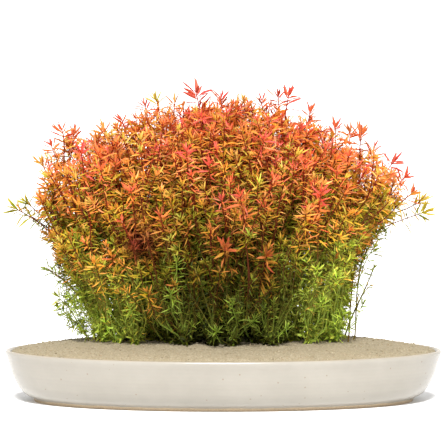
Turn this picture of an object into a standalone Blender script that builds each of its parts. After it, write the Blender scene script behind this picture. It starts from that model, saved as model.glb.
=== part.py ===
"""Potted Rotala rotundifolia: a low oval planting dish, a mounded sand bed,
and a clump of rooted stems that fan out from the sand into a wide dome.

Metres, +Z up.  The origin is at the centre of the dish's foot, on the surface
that it stands on.  +X runs along the dish's long side, and the front of the
clump faces -Y.

Each rooted stem is one solid.  At its foot it is a bare peg that sits in its
own socket in the sand.  Above that the solid widens to the outline that the
stem's side shoots and leaves fill, and it reaches their tips.
"""

import math
import random

import bmesh
import bpy

# ---------------------------------------------------------------- dimensions
RIM_A = 0.197          # half length of the dish over its rim
RIM_B = 0.113          # half width of the dish over its rim
WALL_GAP = 0.0004      # gap between the sand and the dish
SAND_A = 0.1914        # half length of the sand's top surface
SAND_B = 0.1074        # half width of the sand's top surface
SAND_EDGE_Z = 0.0453   # level of the sand at the rim
SAND_RISE = 0.0105     # how far the sand is heaped above that

BASE_X = 0.110         # half length of the patch where the stems are rooted
BASE_Y_SHARE = 0.44    # its half width, as a share of the half length
BASE_FLARE = 0.09      # how fast the patch widens past that, under the edge stems
TOP_Y_SHARE = 0.590    # the crown's half width, as a share of its half length
BEND, BEND_OUT = 1.15, 0.35  # how late a stem leans out, in the middle, and more outside
CROWN_SHARE = 0.55     # flattening of the plan in which the stems are spaced

PEG_R = 0.0014         # bare buried foot of a stem
PEG_DEPTH = 0.016      # how deep it is planted
SOCKET_R = 0.0020      # its socket in the sand
STEM_SPACING = 0.2375  # spacing of the stems in the plan, in half lengths
STEM_SIDES = 6

POT_SEGMENTS = 44
SAND_SEGMENTS = 40

# The dish's section: (distance out from the rim's outer ellipse, height)
POT_UNDER = [(-0.0385, 0.0020), (-0.0370, 0.0)]
POT_OUTSIDE = [
    (-0.0270, 0.0), (-0.0250, 0.0032), (-0.0175, 0.0068), (-0.0110, 0.0145),
    (-0.0060, 0.0255), (-0.0025, 0.0375), (-0.0004, 0.0435), (0.0, 0.0455),
]
POT_LIP = [(-0.0012, 0.0466), (-0.0030, 0.0468), (-0.0046, 0.0462)]
POT_INSIDE = [
    (-0.0052, 0.0448), (-0.0072, 0.0370), (-0.0110, 0.0250),
    (-0.0165, 0.0145), (-0.0240, 0.0092), (-0.0330, 0.0080),
]

# The clump's outline: where a stem that starts at this share of the patch's
# half length ends, as (share, distance out, height above the sand)
CROWN = [
    (0.00, 0.000, 0.229), (0.20, 0.031, 0.228), (0.40, 0.066, 0.219),
    (0.60, 0.105, 0.204), (0.80, 0.147, 0.179), (1.00, 0.178, 0.138),
    (1.15, 0.162, 0.090), (1.30, 0.154, 0.044),
]
OUTERMOST = 1.30
LEAN = 0.05            # the clump is this much taller at -X, and lower at +X

# How wide a stem's solid is at shares of its height, against its room there
SPINDLE = [
    (0.030, 0.14), (0.095, 0.52), (0.27, 0.84), (0.52, 0.94),
    (0.80, 0.90), (0.945, 0.62), (1.00, 0.24),
]


# ------------------------------------------------------------------- helpers
def between(x, table, column):
    """Straight interpolation in a table whose first column rises."""
    if x <= table[0][0]:
        return table[0][column]
    for low, high in zip(table, table[1:]):
        if x <= high[0]:
            t = (x - low[0]) / (high[0] - low[0])
            return low[column] + t * (high[column] - low[column])
    return table[-1][column]


def eased(x, table, column):
    """The same, with its corners rounded."""
    offsets = (-0.06, -0.03, 0.0, 0.03, 0.06)
    return sum(between(min(x + d, 1.36), table, column) for d in offsets) / 5


def sand_height(x, y):
    """Height of the sand's surface: a low heap with slow hollows in it."""
    rho = math.hypot(x / SAND_A, y / SAND_B)
    heap = max(0.0, 1.0 - min(rho, 1.0) ** 4) ** 0.8
    wave = (
        0.40 * math.sin(31.0 * x + 1.3) * math.cos(43.0 * y + 0.4)
        + 0.35 * math.sin(58.0 * x - 37.0 * y + 2.1)
        + 0.25 * math.cos(83.0 * x + 61.0 * y)
    )
    return SAND_EDGE_Z + SAND_RISE * heap + 0.0009 * wave * heap


def clump_point(a, b, s):
    """The point at share s of the height, on the line that a stem follows
    from plan position (a, b).  Lines never cross, so neither do solids that
    keep to their own part of the plan."""
    u, v = a, b / CROWN_SHARE
    rho = math.hypot(u, v)
    cos, sin = (u / rho, v / rho) if rho > 1e-9 else (1.0, 0.0)
    start = BASE_X * rho if rho < 1.0 else BASE_X + (rho - 1.0) * BASE_FLARE
    end = eased(rho, CROWN, 1)
    tall = eased(rho, CROWN, 2) * (1.0 - LEAN * cos * min(rho, 1.0))
    bend = BEND + BEND_OUT * min(rho, 1.0)
    out = start + (end - start) * s ** bend
    across = BASE_Y_SHARE + (TOP_Y_SHARE - BASE_Y_SHARE) * s
    x0, y0 = start * cos, start * sin * BASE_Y_SHARE
    return (
        out * cos,
        out * sin * across,
        sand_height(x0, y0) + tall * s ** 0.92,
    )


def stem_places():
    """Plan positions of the stems: a jittered triangular grid in an oval."""
    rng = random.Random(11)
    places = []
    rows = int(OUTERMOST * CROWN_SHARE / (STEM_SPACING * 0.866)) + 1
    for row in range(-rows, rows + 1):
        for col in range(-8, 9):
            a = (col + 0.5 * (row % 2)) * STEM_SPACING
            b = row * STEM_SPACING * 0.866
            a += rng.uniform(-0.16, 0.16) * STEM_SPACING
            b += rng.uniform(-0.16, 0.16) * STEM_SPACING
            if math.hypot(a, b / CROWN_SHARE) < OUTERMOST - 0.075:
                places.append((a, b))
    return places


def room(place, places, angle):
    """How far a stem's share of the plan reaches in one direction: halfway to
    its neighbours, and never past the oval."""
    (a, b), (ca, cb) = place, (math.cos(angle), math.sin(angle))
    reach = 0.175
    for qa, qb in places:
        da, db = qa - a, qb - b
        ahead = da * ca + db * cb
        if ahead > 1e-9:
            reach = min(reach, (da * da + db * db) / (2 * ahead))
    low, high = 0.0, reach
    for _ in range(30):
        mid = (low + high) / 2
        inside = math.hypot(a + mid * ca, (b + mid * cb) / CROWN_SHARE)
        low, high = (mid, high) if inside < OUTERMOST else (low, mid)
    return low


def rings_to_mesh(name, rings, material):
    """A closed solid through rings of equal count, capped at both ends."""
    mesh = bpy.data.meshes.new(name)
    bm = bmesh.new()
    made = [[bm.verts.new(p) for p in ring] for ring in rings]
    bm.faces.new(list(reversed(made[0])))
    for low, high in zip(made, made[1:]):
        n = len(low)
        for i in range(n):
            j = (i + 1) % n
            bm.faces.new((low[i], low[j], high[j], high[i]))
    bm.faces.new(made[-1])
    bmesh.ops.recalc_face_normals(bm, faces=bm.faces)
    bm.to_mesh(mesh)
    bm.free()
    mesh.materials.append(material)
    obj = bpy.data.objects.new(name, mesh)
    bpy.context.scene.collection.objects.link(obj)
    return obj


def oval_ring(out, z, segments):
    step = 2 * math.pi / segments
    return [
        ((RIM_A + out) * math.cos(k * step), (RIM_B + out) * math.sin(k * step), z)
        for k in range(segments)
    ]


def material(name, colour, roughness):
    made = bpy.data.materials.new(name)
    made.use_nodes = True
    shader = made.node_tree.nodes["Principled BSDF"]
    shader.inputs["Base Color"].default_value = (*colour, 1.0)
    shader.inputs["Roughness"].default_value = roughness
    shader.inputs["Metallic"].default_value = 0.0
    return made


# --------------------------------------------------------------- the pieces
def make_pot(finish):
    """The dish: one turned-looking oval section, with a foot ring."""
    section = POT_UNDER + POT_OUTSIDE + POT_LIP + POT_INSIDE
    pot = rings_to_mesh(
        "pot", [oval_ring(out, z, POT_SEGMENTS) for out, z in section], finish
    )
    pot.data.shade_smooth()
    pot.data.set_sharp_from_angle(angle=math.radians(40))
    return pot


def make_sand(finish, feet):
    """The sand bed: it fills the dish, is heaped in the middle, and has a
    socket for each stem."""
    below = [
        (out - WALL_GAP * 1.4, z + WALL_GAP) for out, z in reversed(POT_INSIDE)
    ]
    rings = [oval_ring(out, z, SAND_SEGMENTS) for out, z in below[:-1]]
    rings.append(oval_ring(SAND_A - RIM_A, SAND_EDGE_Z - 0.0006, SAND_SEGMENTS))
    for share in (0.995, 0.955, 0.88, 0.76, 0.60, 0.42, 0.22, 0.08):
        ring = []
        for k in range(SAND_SEGMENTS):
            angle = 2 * math.pi * k / SAND_SEGMENTS
            x = SAND_A * share * math.cos(angle)
            y = SAND_B * share * math.sin(angle)
            ring.append((x, y, sand_height(x, y)))
        rings.append(ring)
    sand = rings_to_mesh("sand_bed", rings, finish)

    cutters = bpy.data.collections.new("sockets")
    bpy.context.scene.collection.children.link(cutters)
    cutters.hide_render = True
    for k, (x, y, z) in enumerate(feet):
        mesh = bpy.data.meshes.new(f"socket_{k}")
        bm = bmesh.new()
        bmesh.ops.create_cone(
            bm, cap_ends=True, segments=6, radius1=SOCKET_R, radius2=SOCKET_R,
            depth=PEG_DEPTH + 0.0066,
        )
        bm.to_mesh(mesh)
        bm.free()
        cutter = bpy.data.objects.new(f"socket_{k}", mesh)
        cutter.location = (x, y, z - PEG_DEPTH / 2 + 0.0027)
        cutter.hide_render = True
        cutter.display_type = "WIRE"
        cutters.objects.link(cutter)
    cut = sand.modifiers.new("sockets", "BOOLEAN")
    cut.operation = "DIFFERENCE"
    cut.operand_type = "COLLECTION"
    cut.collection = cutters
    cut.solver = "EXACT"
    return sand


def make_stem(name, place, reach, top, finish):
    """One rooted stem.  reach is its room in each of STEM_SIDES directions,
    and top is the share of the clump's height that it grows to."""
    a, b = place
    x0, y0, z0 = clump_point(a, b, 0.0)
    rings = []
    turn = 2 * math.pi / STEM_SIDES
    for z in (z0 - PEG_DEPTH, z0 + 0.0010):
        rings.append([
            (x0 + PEG_R * math.cos(k * turn), y0 + PEG_R * math.sin(k * turn), z)
            for k in range(STEM_SIDES)
        ])
    for share, wide in SPINDLE:
        s = share * top
        ring = []
        for k in range(STEM_SIDES):
            d = reach[k] * wide
            ring.append(
                clump_point(a + d * math.cos(k * turn), b + d * math.sin(k * turn), s)
            )
        rings.append(ring)
    return rings_to_mesh(name, rings, finish)


def main():
    for obj in list(bpy.data.objects):
        bpy.data.objects.remove(obj)

    glaze = material("pot_glaze", (0.86, 0.85, 0.82), 0.25)
    sand = material("sand", (0.66, 0.58, 0.44), 0.95)
    red = material("foliage_red", (0.72, 0.20, 0.06), 0.55)
    green = material("foliage_green", (0.24, 0.36, 0.05), 0.55)

    make_pot(glaze)

    places = stem_places()
    turn = 2 * math.pi / STEM_SIDES
    rng = random.Random(5)
    feet, count = [], {}
    for place in sorted(places, key=lambda p: (round(p[1], 1), p[0])):
        a, b = place
        rho = math.hypot(a, b / CROWN_SHARE)
        reach = [0.93 * room(place, places, k * turn) for k in range(STEM_SIDES)]
        top = rng.uniform(0.90, 1.0) if rho < 1.0 else rng.uniform(0.95, 1.0)
        if rho > 1.0:
            row = "edge"
        elif b < -0.17:
            row = "front"
        elif b > 0.17:
            row = "back"
        else:
            row = "middle"
        count[row] = count.get(row, 0) + 1
        name = f"stem_{row}_{count[row]:02d}"
        make_stem(name, place, reach, top, green if row == "edge" else red)
        feet.append(clump_point(a, b, 0.0))

    make_sand(sand, feet)


main()
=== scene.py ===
"""Looks of a potted clump of submersed Rotala rotundifolia.

Every rooted sprig is one mesh of stems and leaves that takes the place of its
plain solid.  The sand bed and the dish get fine meshes of their own.  Metres,
+Z up; the front of the clump faces -Y.
"""

import math
import random

import bpy
import numpy as np
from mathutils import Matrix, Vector, noise


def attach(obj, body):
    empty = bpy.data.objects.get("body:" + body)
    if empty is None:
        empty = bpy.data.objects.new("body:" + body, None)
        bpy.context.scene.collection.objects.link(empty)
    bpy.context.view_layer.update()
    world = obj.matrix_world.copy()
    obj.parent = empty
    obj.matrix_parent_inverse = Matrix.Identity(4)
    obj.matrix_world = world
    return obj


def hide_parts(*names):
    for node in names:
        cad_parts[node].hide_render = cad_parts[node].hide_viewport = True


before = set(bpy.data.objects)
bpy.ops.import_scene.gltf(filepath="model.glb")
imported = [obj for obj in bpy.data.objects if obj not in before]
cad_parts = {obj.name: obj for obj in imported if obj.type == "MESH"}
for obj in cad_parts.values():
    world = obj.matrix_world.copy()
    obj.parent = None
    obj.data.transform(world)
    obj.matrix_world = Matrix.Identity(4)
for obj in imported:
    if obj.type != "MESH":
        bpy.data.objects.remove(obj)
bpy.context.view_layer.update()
MM = 0.001

# --------------------------------------------------------------- the camera
# One pixel of a 447 by 447 frame is 0.9 mm at the middle of the clump.
PIXEL = 0.0009
MID_X = 223.5
RIM_ROW, RIM_Z = 350.0, 0.0462
ELEVATION = math.radians(3.6)
DISTANCE = 3.0
TARGET_Z = RIM_Z + (RIM_ROW - 223.5) * PIXEL


def at_pixel(px, py, y=0.0):
    """The point at depth y that shows at a pixel of the frame."""
    flat = (px - MID_X) * PIXEL
    high = (223.5 - py) * PIXEL
    away = 1.0 + (y * math.cos(ELEVATION)) / DISTANCE
    x = flat * away
    z = TARGET_Z + (high * away - y * math.sin(ELEVATION)) / math.cos(ELEVATION)
    return np.array((x, y, z))


# ------------------------------------------- the clump's shape, as it is built
RIM_A, RIM_B = 0.197, 0.113
WALL_GAP = 0.0004
SAND_A, SAND_B = 0.1914, 0.1074
SAND_EDGE_Z, SAND_RISE = 0.0453, 0.0105
BASE_X, BASE_Y_SHARE, BASE_FLARE = 0.110, 0.44, 0.09
TOP_Y_SHARE, CROWN_SHARE, BEND, BEND_OUT = 0.590, 0.55, 1.15, 0.35
STEM_SPACING = 0.2375
OUTERMOST, LEAN = 1.30, 0.05
CROWN = [
    (0.00, 0.000, 0.229), (0.20, 0.031, 0.228), (0.40, 0.066, 0.219),
    (0.60, 0.105, 0.204), (0.80, 0.147, 0.179), (1.00, 0.178, 0.138),
    (1.15, 0.162, 0.090), (1.30, 0.154, 0.044),
]
POT_UNDER = [(-0.0385, 0.0020), (-0.0370, 0.0)]
POT_OUTSIDE = [
    (-0.0270, 0.0), (-0.0250, 0.0032), (-0.0175, 0.0068), (-0.0110, 0.0145),
    (-0.0060, 0.0255), (-0.0025, 0.0375), (-0.0004, 0.0435), (0.0, 0.0455),
]
POT_LIP = [(-0.0012, 0.0466), (-0.0030, 0.0468), (-0.0046, 0.0462)]
POT_INSIDE = [
    (-0.0052, 0.0448), (-0.0072, 0.0370), (-0.0110, 0.0250),
    (-0.0165, 0.0145), (-0.0240, 0.0092), (-0.0330, 0.0080),
]
CROWN_X = np.array([row[0] for row in CROWN])
CROWN_OUT = np.array([row[1] for row in CROWN])
CROWN_TALL = np.array([row[2] for row in CROWN])


def eased(x, column):
    total = 0.0
    for d in (-0.06, -0.03, 0.0, 0.03, 0.06):
        total = total + np.interp(np.minimum(x + d, 1.36), CROWN_X, column)
    return total / 5


def sand_height(x, y):
    rho = np.hypot(x / SAND_A, y / SAND_B)
    heap = np.maximum(0.0, 1.0 - np.minimum(rho, 1.0) ** 4) ** 0.8
    wave = (
        0.40 * np.sin(31.0 * x + 1.3) * np.cos(43.0 * y + 0.4)
        + 0.35 * np.sin(58.0 * x - 37.0 * y + 2.1)
        + 0.25 * np.cos(83.0 * x + 61.0 * y)
    )
    return SAND_EDGE_Z + SAND_RISE * heap + 0.0009 * wave * heap


def clump_line(a, b, s):
    """Points at shares s of the height, on the line from plan position (a, b)."""
    v = b / CROWN_SHARE
    rho = math.hypot(a, v)
    cos, sin = (a / rho, v / rho) if rho > 1e-9 else (1.0, 0.0)
    start = BASE_X * rho if rho < 1.0 else BASE_X + (rho - 1.0) * BASE_FLARE
    end = eased(rho, CROWN_OUT)
    tall = eased(rho, CROWN_TALL) * (1.0 - LEAN * cos * min(rho, 1.0))
    bend = BEND + BEND_OUT * min(rho, 1.0)
    out = start + (end - start) * s ** bend
    across = BASE_Y_SHARE + (TOP_Y_SHARE - BASE_Y_SHARE) * s
    x0, y0 = start * cos, start * sin * BASE_Y_SHARE
    ground = float(sand_height(x0, y0))
    return np.stack([out * cos, out * sin * across, ground + tall * s ** 0.92], 1)


def stem_places():
    rng = random.Random(11)
    places = []
    rows = int(OUTERMOST * CROWN_SHARE / (STEM_SPACING * 0.866)) + 1
    for row in range(-rows, rows + 1):
        for col in range(-8, 9):
            a = (col + 0.5 * (row % 2)) * STEM_SPACING
            b = row * STEM_SPACING * 0.866
            a += rng.uniform(-0.16, 0.16) * STEM_SPACING
            b += rng.uniform(-0.16, 0.16) * STEM_SPACING
            if math.hypot(a, b / CROWN_SHARE) < OUTERMOST - 0.075:
                places.append((a, b))
    return places


def named_places():
    """The rooted sprigs' plan positions, by the names of their solids."""
    found, count = {}, {}
    for a, b in sorted(stem_places(), key=lambda p: (round(p[1], 1), p[0])):
        rho = math.hypot(a, b / CROWN_SHARE)
        row = (
            "edge" if rho > 1.0 else "front" if b < -0.17
            else "back" if b > 0.17 else "middle"
        )
        count[row] = count.get(row, 0) + 1
        found[f"stem_{row}_{count[row]:02d}"] = (a, b)
    return found


# The crown's upper outline seen from the front: x against height over the sand
OUTLINE = np.array([
    (-0.190, 0.116), (-0.176, 0.132), (-0.164, 0.158), (-0.150, 0.180),
    (-0.136, 0.190), (-0.115, 0.190), (-0.093, 0.199), (-0.061, 0.210),
    (-0.028, 0.220), (0.004, 0.217), (0.036, 0.216), (0.058, 0.211),
    (0.080, 0.201), (0.101, 0.194), (0.123, 0.180), (0.144, 0.163),
    (0.163, 0.141), (0.180, 0.126),
])


def smooth(x):
    x = np.clip(x, 0.0, 1.0)
    return x * x * (3.0 - 2.0 * x)


def unit(v):
    return v / np.maximum(np.linalg.norm(v, axis=-1, keepdims=True), 1e-12)


# ------------------------------------------------------- leaves and stems
class Sprig:
    """The stems and leaves of one rooted sprig, gathered before meshing."""

    def __init__(self, name, place):
        self.name, self.place = name, place
        self.tubes = []     # (points, radii, tones, sides)
        self.leaves = {kind: [] for kind in range(5)}
        self.main = None


def resample(points, step):
    """The same line with points about step apart, and their distances."""
    gaps = np.linalg.norm(np.diff(points, axis=0), axis=1)
    far = np.concatenate([[0.0], np.cumsum(gaps)])
    count = max(3, int(far[-1] / step) + 1)
    at = np.linspace(0.0, far[-1], count)
    return np.stack([np.interp(at, far, points[:, k]) for k in range(3)], 1), at


GROUND = 0.0545


def warmth(height):
    """How orange a plain leaf is, by its height over the sand."""
    return float(np.interp(
        height, (0.0, 0.035, 0.060, 0.085, 0.110, 0.140, 0.175, 0.210),
        (0.05, 0.09, 0.14, 0.24, 0.37, 0.48, 0.56, 0.60),
    ))


def shaded(x, height):
    """Painted shade: how much the foliage under the middle of the crown is darkened."""
    low = np.interp(height, (0.0, 0.05, 0.09, 0.13, 0.155), (0.70, 0.66, 0.46, 0.13, 0.0))
    return low * np.exp(-(np.abs(x) / 0.068) ** 4)


def sunlit(x, height):
    """Painted side light: how much paler and more yellow-green the low foliage is at the clump's left and right,
    partly young green and partly painted light.
    """
    right = smooth((x - 0.042) / 0.040) * np.interp(
        height, (0.0, 0.070, 0.115), (1.0, 0.80, 0.0))
    left = smooth((-x - 0.055) / 0.045) * np.interp(
        height, (0.0, 0.045, 0.095), (0.85, 0.62, 0.0))
    return np.where(x > 0, right, left)


# How far stems stand out from the middle, left and right, by height
SIDE_H = (0.0, 0.03, 0.052, 0.07, 0.10, 0.125, 0.16, 0.19, 0.215)
SIDE_RIGHT = (0.103, 0.105, 0.106, 0.109, 0.124, 0.168, 0.156, 0.122, 0.090)
SIDE_LEFT = (0.112, 0.118, 0.128, 0.141, 0.150, 0.170, 0.167, 0.154, 0.108)


def beyond(x, height):
    """How far clear of the clump's low left or right side a leaf stands, 0 to 1."""
    limit = np.where(x > 0, np.interp(height, SIDE_H, SIDE_RIGHT),
                     np.interp(height, SIDE_H, SIDE_LEFT))
    return smooth((np.abs(x) - limit) / 0.008) * np.interp(height, (0.10, 0.13), (1.0, 0.0))


def maroon(p):
    """A group of dark red shoots stands low in front, left of the middle."""
    if p[1] > -0.010:
        return 0.0
    return math.exp(-((p[0] + 0.075) / 0.016) ** 2 - ((p[2] - GROUND - 0.092) / 0.018) ** 2)


def tip_gain(height):
    """How much a shoot's tip adds to that."""
    return float(np.interp(
        height, (0.030, 0.060, 0.090, 0.130, 0.20), (0.02, 0.08, 0.20, 0.24, 0.22)
    ))


# How finely leaves are cut, by their distance from a shoot's tip: the ends of
# the first four kinds.  The fifth kind is the plain broad leaf of the hidden
# middle.
HERO, OUTER = (0.014, 0.030, 9.0, 9.0), (0.0, 0.0045, 0.018, 9.0)
BODY, INNER = (0.0, 0.0, 0.010, 9.0), (0.0, 0.0, 0.004, 0.011)


def grow(sprig, points, rng, start=0.0, thick=1.0, size=1.0, mood=0.0,
         fresh=0.0, keep=(1.0, 0.85), gap=1.0, broad=1.0, heart=0.0,
         cuts=OUTER, ring=0.009, lean_add=0.0, big=None, stem=None, dark=0.0):
    """Adds one leafy shoot along points, from its foot to its tip.

    start: share of the way where leaves begin.  mood: added to every tone.
    keep: how many leaves are left near the tip and near the foot.
    heart: how yellow-green the youngest leaves are.
    dark: how much painted shade darkens its leaves.
    """
    points, at = resample(points, 0.002)
    total = at[-1]
    # ---- nodes, from the tip down
    d, nodes = 0.0004, []
    spacing = 0.0011 * gap
    while d < total * (1.0 - start) - 0.001:
        nodes.append(d)
        d += spacing * rng.uniform(0.80, 1.20)
        spacing = min(spacing * 1.21 + 0.00012, 0.0034 * gap)
    # ---- the tube
    ring_at = [0.0]
    while ring_at[-1] + ring * 1.5 < total:
        ring_at.append(ring_at[-1] + ring * rng.uniform(0.9, 1.1))
    ring_at += [total - 0.0015, total]
    ring_at = np.array(ring_at)
    line = np.stack([np.interp(ring_at, at, points[:, k]) for k in range(3)], 1)
    up = ring_at / total
    radius = thick * (0.00096 - 0.00040 * up) * rng.uniform(0.9, 1.1)
    radius[-1] *= 0.45
    height = line[:, 2] - GROUND
    stem_tone = np.interp(height, (0.0, 0.04, 0.09, 0.15, 0.21),
                          (0.12, 0.28, 0.50, 0.66, 0.80)) + mood * 0.5
    stem_tone = stem_tone + 0.16 * np.exp(-(total - ring_at) / 0.02)
    # in the low sides stems are thinner, and paler green from painted side light
    pale_side = sunlit(line[:, 0], height)
    stem_tone = stem_tone * (1.0 - 0.60 * pale_side)
    if stem is None:
        radius = radius * (1.0 - 0.40 * pale_side)
    if fresh > 0.3:
        stem_tone = stem_tone * 0 + 0.12
    if stem is not None:
        stem_tone = stem_tone * 0 + stem
    sprig.tubes.append((line, radius, np.clip(stem_tone, 0.0, 1.0), 5 if thick > 0.75 else 4))
    # ---- the leaves
    ways = unit(np.gradient(points, axis=0))
    turn = rng.uniform(0.0, 2 * math.pi)
    side = unit(np.array([rng.gauss(0, 1), rng.gauss(0, 1), 0.2]))
    for d in nodes:
        k = min(len(points) - 1, max(0, int(round((total - d) / at[1]))))
        share = (total - d) / at[1] - k
        t = ways[k]
        p = points[k] + t * share * at[1]
        u = unit(side - t * (side @ t))
        v = np.cross(t, u)
        h = p[2] - GROUND
        turn += math.pi / 2 + rng.uniform(-0.25, 0.25)
        near = math.exp(-d / 0.013)
        left = keep[1] + (keep[0] - keep[1]) * math.exp(-d / 0.075)
        if d < 0.020:
            left = 1.0
        whorl = 3 if (d < 0.010 and rng.random() < 0.4) else 2
        tall = float(np.interp(h, (0.01, 0.06, 0.12), (0.68, 0.78, 1.0))) if big is None else big
        kind = next((k for k, end in enumerate(cuts) if d < end), 4)
        # against the light, leaves that stand clear are darker and deeper green
        clear = float(beyond(p[0], h)) * (1.0 if big is None else 0.5)
        # painted side light: low leaves at the left and right are mixed towards yellow-green, are pale more
        # often, and fewer are kept
        side_light = float(sunlit(p[0], h)) * (1.0 - 0.40 * clear)
        slim = float(np.interp(h, (0.03, 0.10), (0.82, 1.0))) if big is None else 1.0
        red = maroon(p)
        for j in range(whorl):
            if rng.random() > left * (1.0 - 0.38 * side_light):
                continue
            angle = turn + j * 2 * math.pi / whorl + rng.uniform(-0.3, 0.3)
            out = math.cos(angle) * u + math.sin(angle) * v
            lean = 24.0 + 42.0 * (1.0 - math.exp(-d / 0.0042))
            lean += 16.0 * (1.0 - math.exp(-d / 0.030)) + rng.gauss(0, 12.0) + lean_add
            lean = math.radians(min(max(lean, 8.0), 112.0))
            way = math.cos(lean) * t + math.sin(lean) * out
            face = math.sin(lean) * t - math.cos(lean) * out
            # blades are turned about their own length, few lie level
            roll = rng.gauss(0.0, 0.60)
            if big is not None:
                roll = math.copysign(rng.uniform(0.35, 1.10), roll)
            face = math.cos(roll) * face + math.sin(roll) * np.cross(way, face)
            grown = 0.46 + 0.54 * (1.0 - math.exp(-d / 0.0024))
            length = (0.0094 + 0.0032 * near) * size * tall * grown * rng.uniform(0.74, 1.24)
            width = (0.00090 + 0.00062 * near) * broad * size ** 0.5 * rng.uniform(0.80, 1.25)
            width *= (0.70 + 0.30 * min(grown * 1.1, 1.0)) * slim
            curl = rng.gauss(0.15, 0.32) + 0.95 * (1.0 - math.exp(-d / 0.018))
            if d < 0.003:
                curl = rng.gauss(-0.20, 0.25)
            if kind == 4:
                length, width, curl = length * 1.25, width * 2.0, max(curl, 0.35)
            tone = warmth(h) + mood + tip_gain(h) * near + rng.gauss(0, 0.12 - 0.06 * near)
            # both sides stay more olive than the middle half way up
            tone -= 0.045 * float(smooth((abs(p[0]) - 0.04) / 0.05)) * float(
                np.interp(h, (0.07, 0.09, 0.14, 0.17), (0.0, 1.0, 1.0, 0.0)))
            # young shoots and the painted side light both mix leaves towards yellow-green
            green = max(fresh, side_light * rng.uniform(0.50, 1.2) - max(mood, 0.0) * 2.0)
            if heart and d < 0.009:
                green = max(green, heart * (1.0 - d / 0.009))
            # paler straw and cream leaves: partly their own tone, partly painted highlights
            pale = rng.uniform(0.0, 0.2)
            if rng.random() < 0.52 - 0.38 * near + 0.24 * side_light:
                pale = rng.uniform(0.35, 1.0)
            pale *= (1.0 - 0.5 * clear) * (1.0 if big is None else 0.5)
            # painted shade: leaves under the middle of the crown, in shoots given dark and clear against the
            # light are darkened; some leaves are darker at random
            deep = float(shaded(p[0], h)) * (1.0 - 0.4 * min(fresh, 1.0)) + dark * (1.0 - 0.7 * side_light)
            if rng.random() < 0.18 + 0.12 * side_light:
                deep += 0.24 + 0.08 * side_light
            deep += 0.20 * clear
            pale *= 1.0 - float(shaded(p[0], h))
            if red > 0.05:
                tone, green, pale = tone + red * (0.90 - tone), green * (1 - red), pale * (1 - red)
                deep += 0.62 * red
            sprig.leaves[kind].append((
                *p, *way, *face, length, width, curl, rng.gauss(0.0, 0.22),
                rng.gauss(0.0, 0.50), tone - 0.06, tone + 0.05, min(green, 1.0), pale,
                min(deep, 0.85),
            ))
    return points


# How a blade is cut: stations along it, its half width there, and its section
KINDS = {
    0: (np.array([0.12, 0.42, 0.76]), np.array([0.50, 1.00, 0.66]), 4),
    1: (np.array([0.14, 0.46, 0.80]), np.array([0.52, 1.00, 0.58]), 3),
    2: (np.array([0.25, 0.68]), np.array([0.85, 0.80]), 3),
    3: (np.array([0.46]), np.array([1.00]), 3),
    4: (np.array([0.48]), np.array([1.00]), 2),
}


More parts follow.
